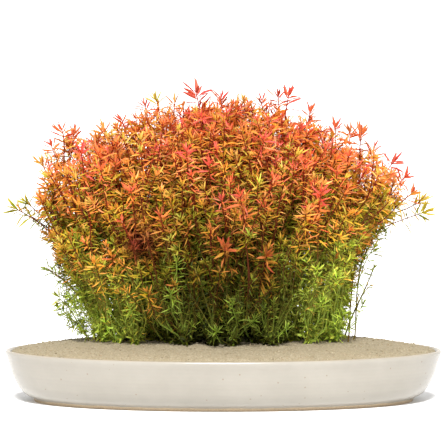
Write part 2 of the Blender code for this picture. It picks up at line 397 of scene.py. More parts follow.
def leaf_arrays(rows, kind):
    """Closed blades: points, triangles and quads as loops, and their numbers."""
    stations, halves, g = KINDS[kind]
    n, m = len(rows), len(stations)
    base, way, face = rows[:, 0:3], unit(rows[:, 3:6]), rows[:, 6:9]
    face = unit(face - way * (face * way).sum(1, keepdims=True))
    side = np.cross(way, face)
    length, width, curl, sway, twist = (rows[:, k:k + 1] for k in range(9, 14))
    curl = np.where(np.abs(curl) < 1e-3, 1e-3, curl)
    points = np.zeros((n, g * m + 2, 3))
    along = np.zeros((n, g * m + 2))
    across = np.zeros((n, g * m + 2))
    under = np.zeros((n, g * m + 2))

    def centre(t):
        return base + length * (
            np.sin(curl * t) / curl * way
            - (1.0 - np.cos(curl * t)) / curl * face
            + sway * t * t / 2 * side
        )

    for i, t in enumerate(stations):
        c = centre(t)
        normal = np.cos(curl * t) * face + np.sin(curl * t) * way
        turned = twist * t
        s = np.cos(turned) * side + np.sin(turned) * normal
        normal = np.cos(turned) * normal - np.sin(turned) * side
        half = width / 2 * halves[i]
        thick = 0.00013 * (1.15 - 0.6 * t)
        rise = half * (0.42 - 0.2 * t) if g == 4 else half * 0.10
        at = g * i
        along[:, at:at + g] = t
        if g == 2:
            points[:, at], points[:, at + 1] = c + s * half, c - s * half
            across[:, at], across[:, at + 1] = 1.0, -1.0
            under[:, at:at + 2] = 0.5
            continue
        points[:, at] = c + s * half + normal * rise
        if g == 4:
            points[:, at + 1] = c + normal * thick
        points[:, at + g - 2] = c - s * half + normal * rise
        points[:, at + g - 1] = c - normal * thick * 1.4
        across[:, at], across[:, at + g - 2] = 1.0, -1.0
        under[:, at], under[:, at + g - 2], under[:, at + g - 1] = 0.5, 0.5, 1.0
    points[:, g * m] = base
    points[:, g * m + 1] = centre(1.0)
    under[:, g * m:] = 0.5
    along[:, g * m + 1] = 1.0

    quads, quad_uv, tris, tri_uv = [], [], [], []
    rows_v = np.concatenate([[0.0], stations, [1.0]])
    for i in range(m - 1):
        for q in range(g):
            r = (q + 1) % g
            quads.append((g * i + q, g * i + g + q, g * i + g + r, g * i + r))
            lo, hi = rows_v[i + 1], rows_v[i + 2]
            quad_uv.append((
                (q / g, lo), (q / g, hi), ((q + 1) / g, hi), ((q + 1) / g, lo)
            ))
    last = g * (m - 1)
    if g == 2:
        # an arched blade of four faces: two above, two below
        t = stations[0]
        tris = [(2, 0, 1), (0, 3, 1), (2, 3, 0), (2, 1, 3)]
        tri_uv = [
            ((0.25, 0.0), (0.0, t), (0.5, t)), ((0.0, t), (0.25, 1.0), (0.5, t)),
            ((0.75, 0.0), (0.75, 1.0), (0.5, t)), ((0.75, 0.0), (1.0, t), (0.75, 1.0)),
        ]
    for q in range(g if g > 2 else 0):
        r = (q + 1) % g
        middle = (q + 0.5) / g
        tris.append((g * m, q, r))
        tri_uv.append(((middle, 0.0), (q / g, rows_v[1]), ((q + 1) / g, rows_v[1])))
        tris.append((last + r, last + q, g * m + 1))
        tri_uv.append((((q + 1) / g, rows_v[m]), (q / g, rows_v[m]), (middle, 1.0)))
    foot, tip = rows[:, 14:15], rows[:, 15:16]
    tone = foot + (tip - foot) * along
    per = points.shape[1]
    return {
        "points": points, "quads": np.array(quads, int).reshape(-1, 4), "tris": np.array(tris),
        "quad_uv": np.array(quad_uv).reshape(-1, 4, 2), "tri_uv": np.array(tri_uv),
        "tone": np.clip(tone, 0.0, 1.0), "along": along, "across": across,
        "under": under, "fresh": np.repeat(rows[:, 16:17], per, 1),
        "pale": np.repeat(rows[:, 17:18], per, 1),
        "deep": np.repeat(rows[:, 18:19], per, 1),
    }


def tube_arrays(line, radius, n):
    """A closed tube: rings of n points and a point at each end."""
    t = unit(np.gradient(line, axis=0))
    u = np.array([1.0, 0.0, 0.0])
    rings = []
    for p, w, r in zip(line, t, radius):
        u = unit(u - w * (u @ w))
        v = np.cross(w, u)
        a = np.arange(n) * 2 * math.pi / n
        rings.append(p + r * (np.cos(a)[:, None] * u + np.sin(a)[:, None] * v))
    count = len(line)
    points = np.concatenate([np.concatenate(rings), line[:1], line[-1:]])
    i, k = np.meshgrid(np.arange(count - 1), np.arange(n), indexing="ij")
    i, k = i.ravel(), k.ravel()
    j = (k + 1) % n
    quads = np.stack([i * n + k, i * n + j, (i + 1) * n + j, (i + 1) * n + k], 1)
    lo, hi = i / (count - 1), (i + 1) / (count - 1)
    quad_uv = np.stack([
        np.stack([k / n, lo], 1), np.stack([(k + 1) / n, lo], 1),
        np.stack([(k + 1) / n, hi], 1), np.stack([k / n, hi], 1),
    ], 1)
    a = np.arange(n)
    b = (a + 1) % n
    foot, tip = count * n, count * n + 1
    last = (count - 1) * n
    tris = np.concatenate([
        np.stack([np.full(n, foot), b, a], 1),
        np.stack([last + a, last + b, np.full(n, tip)], 1),
    ])
    middle = (a + 0.5) / n
    zero, one = np.zeros(n), np.ones(n)
    tri_uv = np.concatenate([
        np.stack([np.stack([middle, zero], 1), np.stack([(a + 1) / n, zero], 1),
                  np.stack([a / n, zero], 1)], 1),
        np.stack([np.stack([a / n, one], 1), np.stack([(a + 1) / n, one], 1),
                  np.stack([middle, one], 1)], 1),
    ])
    return points, quads, quad_uv, tris, tri_uv


def mesh_from(name, points, quads, tris, quad_uv=None, tri_uv=None,
              numbers=None, quad_slot=None, tri_slot=None):
    """One mesh from arrays, quads first and then triangles."""
    mesh = bpy.data.meshes.new(name)
    mesh.vertices.add(len(points))
    mesh.vertices.foreach_set("co", points.astype(np.float32).ravel())
    loops = np.concatenate([quads.ravel(), tris.ravel()]).astype(np.int32)
    mesh.loops.add(len(loops))
    mesh.loops.foreach_set("vertex_index", loops)
    count = len(quads) + len(tris)
    starts = np.concatenate([
        np.arange(len(quads)) * 4, len(quads) * 4 + np.arange(len(tris)) * 3
    ]).astype(np.int32)
    mesh.polygons.add(count)
    mesh.polygons.foreach_set("loop_start", starts)
    if quad_slot is not None:
        mesh.polygons.foreach_set(
            "material_index", np.concatenate([quad_slot, tri_slot]).astype(np.int32)
        )
    for key, values in (numbers or {}).items():
        layer = mesh.attributes.new(key, "FLOAT", "POINT")
        layer.data.foreach_set("value", values.astype(np.float32).ravel())
    if quad_uv is not None:
        layer = mesh.uv_layers.new(name="OFBake")
        flat = np.concatenate([quad_uv.reshape(-1, 2), tri_uv.reshape(-1, 2)])
        layer.data.foreach_set("uv", flat.astype(np.float32).ravel())
    mesh.update(calc_edges=True)
    mesh.validate()
    mesh.shade_smooth()
    return mesh


NUMBERS = ("tone", "along", "across", "under", "fresh", "pale", "deep")


def sprig_object(sprig, name, stem_paint, leaf_paint):
    """One object of a sprig's stems and leaves."""
    n_all = sum(len(rows) for rows in sprig.leaves.values())
    # each leaf has its own cell of the map
    wide = int(math.ceil(math.sqrt(n_all * 1.9)))
    tall = int(math.ceil(n_all / wide))
    cell = np.array([1.0 / wide, 0.84 / tall])
    inset = 0.08
    points, quads, tris, quad_uv, tri_uv = [], [], [], [], []
    quad_slot, tri_slot = [], []
    numbers = {key: [] for key in NUMBERS}
    offset, first = 0, 0
    for kind, rows in sprig.leaves.items():
        if not rows:
            continue
        leaf = leaf_arrays(np.array(rows), kind)
        n, per = leaf["points"].shape[:2]
        shift = offset + (np.arange(n) * per)[:, None, None]
        quads.append((leaf["quads"][None] + shift).reshape(-1, 4))
        tris.append((leaf["tris"][None] + shift).reshape(-1, 3))
        which = first + np.arange(n)
        corner = (np.stack([which % wide, which // wide], 1) * cell)[:, None, None]
        for store, key, size in ((quad_uv, "quad_uv", 4), (tri_uv, "tri_uv", 3)):
            spot = corner + (inset + (1 - 2 * inset) * leaf[key][None]) * cell
            store.append(spot.reshape(-1, size, 2))
        points.append(leaf["points"].reshape(-1, 3))
        for key in NUMBERS:
            numbers[key].append(leaf[key].reshape(-1))
        quad_slot.append(np.ones(len(quads[-1])))
        tri_slot.append(np.ones(len(tris[-1])))
        offset += n * per
        first += n
    count = len(sprig.tubes)
    for k, (line, radius, tone, sides) in enumerate(sprig.tubes):
        p, q, quv, t, tuv = tube_arrays(line, radius, sides)
        points.append(p)
        quads.append(q + offset)
        tris.append(t + offset)
        strip = np.array([1.0 / count, 0.13])
        low = np.array([k / count, 0.86])
        quad_uv.append(low + (0.08 + 0.84 * quv) * strip)
        tri_uv.append(low + (0.08 + 0.84 * tuv) * strip)
        full = np.concatenate([np.repeat(tone, sides), tone[:1], tone[-1:]])
        far = np.concatenate([np.repeat(np.linspace(0, 1, len(tone)), sides), [0, 1]])
        numbers["tone"].append(full)
        numbers["along"].append(far)
        for key in ("across", "under", "fresh", "pale"):
            numbers[key].append(np.zeros(len(p)))
        # painted shade on the stems under the middle of the crown
        numbers["deep"].append(shaded(p[:, 0], p[:, 2] - GROUND) * 0.7)
        quad_slot.append(np.zeros(len(q)))
        tri_slot.append(np.zeros(len(t)))
        offset += len(p)
    mesh = mesh_from(
        name, np.concatenate(points), np.concatenate(quads), np.concatenate(tris),
        np.concatenate(quad_uv), np.concatenate(tri_uv),
        {k: np.concatenate(v) for k, v in numbers.items()},
        np.concatenate(quad_slot), np.concatenate(tri_slot),
    )
    mesh.set_sharp_from_angle(angle=math.radians(80))
    mesh.materials.append(stem_paint)
    mesh.materials.append(leaf_paint)
    obj = bpy.data.objects.new(name, mesh)
    bpy.context.scene.collection.objects.link(obj)
    return obj


# ---------------------------------------------------------------- materials
def new_material(name):
    made = bpy.data.materials.new(name)
    made.use_nodes = True
    tree = made.node_tree
    tree.nodes.clear()
    return made, tree


def node(tree, kind, **values):
    made = tree.nodes.new(kind)
    for key, value in values.items():
        setattr(made, key, value)
    return made


def ramp(tree, stops, source=None, mode="LINEAR"):
    made = tree.nodes.new("ShaderNodeValToRGB")
    made.color_ramp.interpolation = mode
    elements = made.color_ramp.elements
    while len(elements) > 1:
        elements.remove(elements[-1])
    for k, (place, colour) in enumerate(stops):
        element = elements[0] if k == 0 else elements.new(place)
        element.position = place
        element.color = (*colour, 1.0)
    if source is not None:
        tree.links.new(source, made.inputs["Fac"])
    return made.outputs["Color"]


def math_node(tree, operation, a, b=None, clamp=False):
    made = tree.nodes.new("ShaderNodeMath")
    made.operation = operation
    made.use_clamp = clamp
    for k, value in enumerate((a, b)):
        if value is None:
            continue
        if isinstance(value, (int, float)):
            made.inputs[k].default_value = value
        else:
            tree.links.new(value, made.inputs[k])
    return made.outputs["Value"]


def mix_colour(tree, factor, a, b, mode="MIX"):
    made = tree.nodes.new("ShaderNodeMix")
    made.data_type = "RGBA"
    made.blend_type = mode
    for socket, value in ((made.inputs[0], factor), (made.inputs[6], a), (made.inputs[7], b)):
        if isinstance(value, (int, float)):
            socket.default_value = value
        elif isinstance(value, tuple):
            socket.default_value = (*value, 1.0)
        else:
            tree.links.new(value, socket)
    return made.outputs[2]


def number(tree, name):
    made = tree.nodes.new("ShaderNodeAttribute")
    made.attribute_name = name
    return made.outputs["Fac"]


def noise_node(tree, scale, detail=2.0, rough=0.5, where=None, distortion=0.0):
    made = tree.nodes.new("ShaderNodeTexNoise")
    made.inputs["Scale"].default_value = scale
    made.inputs["Detail"].default_value = detail
    made.inputs["Roughness"].default_value = rough
    made.inputs["Distortion"].default_value = distortion
    if where is not None:
        tree.links.new(where, made.inputs["Vector"])
    return made.outputs["Fac"]


def srgb(r, g, b):
    """A colour from its 0 to 255 display numbers."""
    def one(c):
        c /= 255.0
        return c / 12.92 if c <= 0.04045 else ((c + 0.055) / 1.055) ** 2.4
    return (one(r), one(g), one(b))


def leaf_material():
    made, tree = new_material("leaf")
    link = tree.links.new
    place = tree.nodes.new("ShaderNodeTexCoord").outputs["Object"]
    tone, along = number(tree, "tone"), number(tree, "along")
    across, under = number(tree, "across"), number(tree, "under")
    fresh = number(tree, "fresh")
    cloud = noise_node(tree, 160.0, 2.0, 0.6, place)
    fine = noise_node(tree, 900.0, 2.0, 0.55, place)
    shifted = math_node(
        tree, "ADD", tone,
        math_node(tree, "MULTIPLY", math_node(tree, "SUBTRACT", cloud, 0.5), 0.22),
        clamp=True,
    )
    colour = ramp(tree, [
        (0.00, srgb(44, 76, 0)), (0.12, srgb(88, 124, 4)),
        (0.25, srgb(146, 154, 10)), (0.38, srgb(196, 164, 20)),
        (0.50, srgb(236, 166, 44)), (0.62, srgb(251, 155, 60)),
        (0.74, srgb(249, 138, 70)), (0.86, srgb(245, 104, 64)),
        (1.00, srgb(234, 76, 76)),
    ], shifted)
    young_green_and_painted_light = ramp(tree, [
        (0.0, srgb(168, 222, 40)), (1.0, srgb(234, 250, 116)),
    ], along)
    # young shoots and painted side light are mixed to this yellow-green
    colour = mix_colour(tree, fresh, colour, young_green_and_painted_light)
    # some leaves are paler, straw and cream: partly their own tone, partly painted highlights
    straw_and_highlight = ramp(tree, [
        (0.00, srgb(194, 208, 66)), (0.35, srgb(232, 214, 84)),
        (0.65, srgb(255, 208, 128)), (1.00, srgb(255, 176, 156)),
    ], shifted)
    colour = mix_colour(tree, math_node(tree, "MULTIPLY", number(tree, "pale"), 0.80), colour, straw_and_highlight)
    # paler midrib, and fine side veins that leave it at a slant
    middle = math_node(tree, "ABSOLUTE", across)
    rib = math_node(tree, "SUBTRACT", 1.0, math_node(tree, "MULTIPLY", middle, 6.0), clamp=True)
    colour = mix_colour(tree, math_node(tree, "MULTIPLY", rib, 0.28), colour, srgb(248, 206, 104))
    slant = math_node(
        tree, "SINE",
        math_node(tree, "MULTIPLY",
                  math_node(tree, "SUBTRACT", along, math_node(tree, "MULTIPLY", middle, 0.10)), 120.0),
    )
    vein = math_node(tree, "MULTIPLY", math_node(tree, "ADD", slant, 1.0), 0.5)
    # darker and lighter patches, and slightly darker veins
    shade = math_node(tree, "ADD", 0.84, math_node(tree, "MULTIPLY", fine, 0.30))
    shade = math_node(tree, "SUBTRACT", shade, math_node(tree, "MULTIPLY", vein, 0.05))
    grey = tree.nodes.new("ShaderNodeCombineColor")
    for k in range(3):
        link(shade, grey.inputs[k])
    colour = mix_colour(tree, 1.0, colour, grey.outputs["Color"], "MULTIPLY")
    # the underside is paler
    below = math_node(tree, "SUBTRACT", math_node(tree, "MULTIPLY", under, 1.6), 0.6, clamp=True)
    colour = mix_colour(tree, math_node(tree, "MULTIPLY", below, 0.22), colour, srgb(226, 172, 96))
    # painted shade: leaves under the middle of the crown, inside the clump and clear against the light are
    # darkened, as are some leaves at random and the dark red group
    dim = math_node(tree, "SUBTRACT", 1.0, number(tree, "deep"))
    dark = tree.nodes.new("ShaderNodeCombineColor")
    for k in range(3):
        link(dim, dark.inputs[k])
    colour = mix_colour(tree, 1.0, colour, dark.outputs["Color"], "MULTIPLY")
    bump = tree.nodes.new("ShaderNodeBump")
    bump.inputs["Strength"].default_value = 0.25
    bump.inputs["Distance"].default_value = 0.0002
    link(math_node(tree, "ADD", math_node(tree, "MULTIPLY", vein, 0.5), fine), bump.inputs["Height"])
    body = tree.nodes.new("ShaderNodeBsdfPrincipled")
    link(colour, body.inputs["Base Color"])
    link(math_node(tree, "ADD", 0.40, math_node(tree, "MULTIPLY", fine, 0.22)), body.inputs["Roughness"])
    link(bump.outputs["Normal"], body.inputs["Normal"])
    body.inputs["Specular IOR Level"].default_value = 0.14
    through = tree.nodes.new("ShaderNodeBsdfTranslucent")
    link(colour, through.inputs["Color"])
    both = tree.nodes.new("ShaderNodeMixShader")
    both.inputs[0].default_value = 0.42
    link(body.outputs[0], both.inputs[1])
    link(through.outputs[0], both.inputs[2])
    out = tree.nodes.new("ShaderNodeOutputMaterial")
    link(both.outputs[0], out.inputs["Surface"])
    return made


def stem_material():
    made, tree = new_material("stem")
    link = tree.links.new
    place = tree.nodes.new("ShaderNodeTexCoord").outputs["Object"]
    tone = number(tree, "tone")
    streaks = tree.nodes.new("ShaderNodeMapping")
    streaks.inputs["Scale"].default_value = (1.0, 1.0, 0.12)
    link(place, streaks.inputs["Vector"])
    grain = noise_node(tree, 1500.0, 3.0, 0.6, streaks.outputs["Vector"])
    cloud = noise_node(tree, 90.0, 2.0, 0.6, place)
    shifted = math_node(
        tree, "ADD", tone,
        math_node(tree, "MULTIPLY", math_node(tree, "SUBTRACT", cloud, 0.5), 0.35), clamp=True,
    )
    colour = ramp(tree, [
        (0.00, srgb(142, 170, 66)), (0.20, srgb(108, 106, 40)),
        (0.45, srgb(80, 44, 16)), (0.70, srgb(86, 28, 12)),
        (1.00, srgb(132, 36, 22)),
    ], shifted)
    shade = math_node(tree, "ADD", 0.78, math_node(tree, "MULTIPLY", grain, 0.42))
    # painted shade darkens stems under the middle of the crown
    shade = math_node(tree, "MULTIPLY", shade, math_node(tree, "SUBTRACT", 1.0, number(tree, "deep")))
    grey = tree.nodes.new("ShaderNodeCombineColor")
    for k in range(3):
        link(shade, grey.inputs[k])
    colour = mix_colour(tree, 1.0, colour, grey.outputs["Color"], "MULTIPLY")
    bump = tree.nodes.new("ShaderNodeBump")
    bump.inputs["Strength"].default_value = 0.35
    bump.inputs["Distance"].default_value = 0.0002
    link(grain, bump.inputs["Height"])
    body = tree.nodes.new("ShaderNodeBsdfPrincipled")
    link(colour, body.inputs["Base Color"])
    link(math_node(tree, "ADD", 0.50, math_node(tree, "MULTIPLY", grain, 0.2)), body.inputs["Roughness"])
    body.inputs["Specular IOR Level"].default_value = 0.06
    link(bump.outputs["Normal"], body.inputs["Normal"])
    out = tree.nodes.new("ShaderNodeOutputMaterial")
    link(body.outputs[0], out.inputs["Surface"])
    return made


def sand_material(name, grains=False):
    made, tree = new_material(name)
    link = tree.links.new
    place = tree.nodes.new("ShaderNodeTexCoord").outputs["Object"]
    cells = tree.nodes.new("ShaderNodeTexVoronoi")
    cells.inputs["Scale"].default_value = 900.0
    link(place, cells.inputs["Vector"])
    split = tree.nodes.new("ShaderNodeSeparateColor")
    link(cells.outputs["Color"], split.inputs[0])
    pick = split.outputs["Red"]
    colour = ramp(tree, [
        (0.00, srgb(114, 102, 79)), (0.05, srgb(123, 111, 87)),
        (0.10, srgb(130, 118, 94)), (0.45, srgb(135, 124, 100)),
        (0.75, srgb(142, 131, 108)), (0.94, srgb(154, 144, 122)),
        (1.00, srgb(130, 110, 80)),
    ], number(tree, "shade") if grains else pick)
    patch = noise_node(tree, 26.0, 3.0, 0.6, place)
    colour = mix_colour(
        tree, math_node(tree, "MULTIPLY", patch, 0.35), colour, srgb(134, 121, 95), "MIX")
    fine = noise_node(tree, 2600.0, 2.0, 0.5, place)
    shade = math_node(tree, "ADD", 0.92, math_node(tree, "MULTIPLY", fine, 0.16))
    grey = tree.nodes.new("ShaderNodeCombineColor")
    for k in range(3):
        link(shade, grey.inputs[k])
    colour = mix_colour(tree, 1.0, colour, grey.outputs["Color"], "MULTIPLY")
    bump = tree.nodes.new("ShaderNodeBump")
    bump.inputs["Strength"].default_value = 0.6
    bump.inputs["Distance"].default_value = 0.0004
    height = math_node(tree, "SUBTRACT", fine, math_node(tree, "MULTIPLY", cells.outputs["Distance"], 1.2))
    link(height, bump.inputs["Height"])
    body = tree.nodes.new("ShaderNodeBsdfPrincipled")
    link(colour, body.inputs["Base Color"])
    link(math_node(tree, "ADD", 0.72, math_node(tree, "MULTIPLY", fine, 0.25)), body.inputs["Roughness"])
    link(bump.outputs["Normal"], body.inputs["Normal"])
    body.inputs["Specular IOR Level"].default_value = 0.35
    out = tree.nodes.new("ShaderNodeOutputMaterial")
    link(body.outputs[0], out.inputs["Surface"])
    return made


def glaze_material():
    made, tree = new_material("pot_glaze")
    link = tree.links.new
    coords = tree.nodes.new("ShaderNodeTexCoord").outputs["Object"]
    split = tree.nodes.new("ShaderNodeSeparateXYZ")
    link(coords, split.inputs[0])
    cloud = noise_node(tree, 14.0, 4.0, 0.6, coords)
    base = ramp(tree, [
        (0.25, srgb(132, 127, 117)), (0.55, srgb(140, 135, 125)), (0.85, srgb(148, 143, 133)),
    ], cloud)
    # iron specks in the glaze
    specks = tree.nodes.new("ShaderNodeTexVoronoi")
    specks.inputs["Scale"].default_value = 210.0
    link(coords, specks.inputs["Vector"])
    chosen = tree.nodes.new("ShaderNodeSeparateColor")
    link(specks.outputs["Color"], chosen.inputs[0])
    near = math_node(tree, "LESS_THAN", specks.outputs["Distance"], 0.17)
    few = math_node(tree, "GREATER_THAN", chosen.outputs["Red"], 0.90)
    spot = math_node(tree, "MULTIPLY", math_node(tree, "MULTIPLY", near, few), 0.55)
    base = mix_colour(tree, spot, base, srgb(118, 98, 76))
    # the glaze thins to a warmer line on the lip, and stops above the foot
    lip = math_node(tree, "MULTIPLY", math_node(tree, "SUBTRACT", split.outputs["Z"], 0.0455), 900.0, clamp=True)
    base = mix_colour(tree, math_node(tree, "MULTIPLY", lip, 0.35), base, srgb(176, 156, 128))
    edge = math_node(tree, "ADD", split.outputs["Z"],
                     math_node(tree, "MULTIPLY", noise_node(tree, 60.0, 2.0, 0.5, coords), 0.0016))
    foot = math_node(tree, "MULTIPLY", math_node(tree, "SUBTRACT", 0.0040, edge), 2500.0, clamp=True)
    clay = ramp(tree, [(0.3, srgb(158, 138, 112)), (0.7, srgb(176, 158, 132))],
                noise_node(tree, 700.0, 3.0, 0.6, coords))
    base = mix_colour(tree, foot, base, clay)
    bump = tree.nodes.new("ShaderNodeBump")
    bump.inputs["Strength"].default_value = 0.12
    bump.inputs["Distance"].default_value = 0.0006
    rings = tree.nodes.new("ShaderNodeTexWave")
    rings.wave_type, rings.bands_direction = "BANDS", "Z"
    rings.inputs["Scale"].default_value = 90.0
    rings.inputs["Distortion"].default_value = 1.5
    link(coords, rings.inputs["Vector"])
    link(math_node(tree, "ADD", math_node(tree, "MULTIPLY", rings.outputs["Fac"], 0.35),
                   noise_node(tree, 120.0, 2.0, 0.5, coords)), bump.inputs["Height"])
    body = tree.nodes.new("ShaderNodeBsdfPrincipled")
    link(base, body.inputs["Base Color"])
    rough = math_node(tree, "ADD", 0.20, math_node(tree, "MULTIPLY", foot, 0.6))
    link(math_node(tree, "ADD", rough, math_node(tree, "MULTIPLY", cloud, 0.10)), body.inputs["Roughness"])
    link(bump.outputs["Normal"], body.inputs["Normal"])
    out = tree.nodes.new("ShaderNodeOutputMaterial")
    link(body.outputs[0], out.inputs["Surface"])
    return made


# ------------------------------------------------------------ the sprigs
def squeeze(line, give=1.0):
    """Keeps stems inside the clump's outline at its left and right sides."""
    line = line.copy()
    h = line[:, 2] - GROUND
    limit = give * np.where(line[:, 0] > 0, np.interp(h, SIDE_H, SIDE_RIGHT),
                            np.interp(h, SIDE_H, SIDE_LEFT))
    from_here = 0.84 * limit
    x = np.abs(line[:, 0])
    past = np.maximum(x - from_here, 0.0) / (limit - from_here)
    x = np.where(x > from_here, from_here + (limit - from_here) * np.tanh(past), x)
    line[:, 0] = np.sign(line[:, 0]) * x
    return line


def wobbled(line, rng, wobble, reach):
    """The line with slow bends in it, and a tip that turns its own way."""
    line = line.copy()
    rise = line[:, 2] - line[0, 2]
    up = smooth(rise / 0.07)
    for axis in (0, 1):
        for size, waves in ((0.0034, 0.8), (0.0015, 2.1)):
            phase = rng.uniform(0, 2 * math.pi)
            line[:, axis] += wobble * size * up * np.sin(
                line[:, 2] * 2 * math.pi * waves / 0.12 + phase)
    bend = np.clip((line[:, 2] - (line[-1, 2] - 0.055)) / 0.055, 0, 1) ** 2
    a, k = rng.uniform(0, 2 * math.pi), rng.uniform(0.2, 1.0) * reach
    line[:, 0] += bend * k * math.cos(a)
    line[:, 1] += bend * k * math.sin(a)
    return line


def shoot_points(place, own, top, rise, span, rng):
    """The line of one shoot of the sprig rooted at place, that grows into its
    own part of the crown.  rise and span: where it leaves the main stem."""
    s = np.linspace(0.0, top, 60)
    main, mine = clump_line(*place, s), clump_line(*own, s)
    height = main[:, 2] - main[0, 2]
    w = smooth((height - rise) / span)[:, None]
    line = main * (1 - w) + mine * w
    if rise > 0:
        line = line[height > max(0.0, rise - 0.002)]
    line = wobbled(line, rng, 1.0, 0.012)
    if rise <= 0:
        line = np.concatenate([line[:1] - np.array((0.0, 0.0, 0.008)), line])
    free = smooth((line[:, 2] - GROUND) / 0.05)
    return squeeze(line, 1.0 + free * rng.uniform(-0.13, 0.05))


def trim(line, limit):
    """Cuts a line where it passes the crown's outline from the front."""
    top = np.interp(line[:, 0], OUTLINE[:, 0], OUTLINE[:, 1])
    ok = line[:, 2] - GROUND < top + limit
    last = len(line) if ok.all() else max(8, int(np.argmin(ok)))
    return line[:last]


def grid(spacing, shake, rng, outermost):
    """A jittered triangular grid over the clump's plan."""
    found = []
    rows = int(OUTERMOST * CROWN_SHARE / (spacing * 0.866)) + 1
    cols = int(OUTERMOST / spacing) + 2
    for row in range(-rows, rows + 1):
        for col in range(-cols, cols + 1):
            a = (col + 0.5 * (row % 2)) * spacing + rng.uniform(-shake, shake) * spacing
            b = row * spacing * 0.866 + rng.uniform(-shake, shake) * spacing
            if math.hypot(a, b / CROWN_SHARE) < outermost:
                found.append((a, b))
    return found


class Web:
    """Every point of every long shoot, to find where a side shoot starts."""

    def __init__(self):
        self.points, self.owner, self.order = [], [], []

    def add(self, sprig, line):
        self.points.append(line)
        self.owner += [len(self.order)] * len(line)
        self.order.append(sprig)

    def close(self):
        self.all = np.concatenate(self.points)
        self.whose = np.array(self.owner)
        self.way = np.concatenate([unit(np.gradient(p, axis=0)) for p in self.points])

    def foot(self, tip, way, length):
        """(sprig, point, direction) of the best start of a side shoot."""
        want = tip - way * length * 0.55 - np.array([0, 0, length * 0.38])
        score = np.linalg.norm(self.all - want, axis=1)
        score = score + np.where(self.all[:, 2] > tip[2] - 0.30 * length, 1.0, 0.0)
        score = score + np.where(self.all[:, 2] < GROUND + 0.003, 1.0, 0.0)
        k = int(score.argmin())
        return self.order[self.whose[k]], self.all[k], self.way[k]

    def front(self, x, z):
        """How far forward the stems stand at a place seen from the front."""
        near = np.hypot(self.all[:, 0] - x, self.all[:, 2] - z) < 0.013
        return float(self.all[near, 1].min()) if near.any() else -0.03


def bezier(p0, p1, p2, p3, count=24):
    t = np.linspace(0, 1, count)[:, None]
    return ((1 - t) ** 3 * p0 + 3 * (1 - t) ** 2 * t * p1
            + 3 * (1 - t) * t * t * p2 + t ** 3 * p3)


def side_shoot(web, tip, way, length, rng, **looks):
    """A side shoot that ends at tip, growing along way there."""
    sprig, foot, along = web.foot(tip, way, length)
    far = np.linalg.norm(tip - foot)
    # a tip that turns far from its stem's way bends late and little
    straight = unit(tip - foot)
    way = unit(way + straight * max(0.0, 0.75 - float(way @ straight)) * 1.6)
    line = bezier(foot, foot + along * far * 0.26, tip - way * far * 0.36, tip)
    grow(sprig, wobbled(line, rng, 0.30, 0.0), rng, ring=0.011, **looks)


def a_mood(rng):
    """Most shoots are orange, some are redder and some stay olive."""
    chance = rng.random()
    if chance < 0.19:
        return rng.uniform(0.14, 0.34)
    if chance < 0.42:
        return rng.uniform(-0.28, -0.12)
    return rng.gauss(0.0, 0.08)


def make_sprigs(rng):
    """The rooted stems and the long shoots that leave them low down."""
    sprigs = {name: Sprig(name, place) for name, place in named_places().items()}
    order = list(sprigs.values())
    spots = np.array([s.place for s in order])
    web = Web()
    shoots = [(s, s.place, True) for s in order]
    for a, b in grid(0.100, 0.3, rng, OUTERMOST - 0.06):
        gaps = np.hypot(spots[:, 0] - a, spots[:, 1] - b)
        k = int(gaps.argmin())
        if gaps[k] > 0.05:
            shoots.append((order[k], (a, b), False))
    for sprig, own, is_main in shoots:
        a, b = own
        rho = math.hypot(a, b / CROWN_SHARE)
        top = rng.uniform(0.84, 0.99) if rng.random() < 0.78 else rng.uniform(0.60, 0.84)
        if rho > 1.0:
            top = rng.uniform(0.70, 1.0)
        rise = 0.0 if is_main else rng.uniform(-0.010, 0.010)
        line = shoot_points(sprig.place, own, top, rise, rng.uniform(0.020, 0.038), rng)
        if is_main:
            line = np.concatenate([line[:1] - np.array((0.0, 0.0, 0.006)), line])
        line = trim(line, rng.uniform(0.0, 0.006) if rng.random() < 0.12
                    else rng.uniform(-0.017, -0.002))
        outer = rho > 0.66
        airy = rho > 0.92 and abs(a) > 0.80
        # shoots inside the clump are darkened with painted shade
        grow(sprig, line, rng, start=0.03, mood=a_mood(rng),
             keep=(1.0, 0.50 if airy else 0.92), cuts=OUTER if outer else INNER,
             thick=1.1 if is_main else 0.95, size=rng.uniform(0.90, 1.12),
             heart=rng.uniform(0.3, 0.8) if rng.random() < 0.2 else 0.0,
             dark=0.0 if outer else 0.12)
        if is_main:
            sprig.main = line
        web.add(sprig, line[3:])
    web.close()
    return order, web, len(shoots)


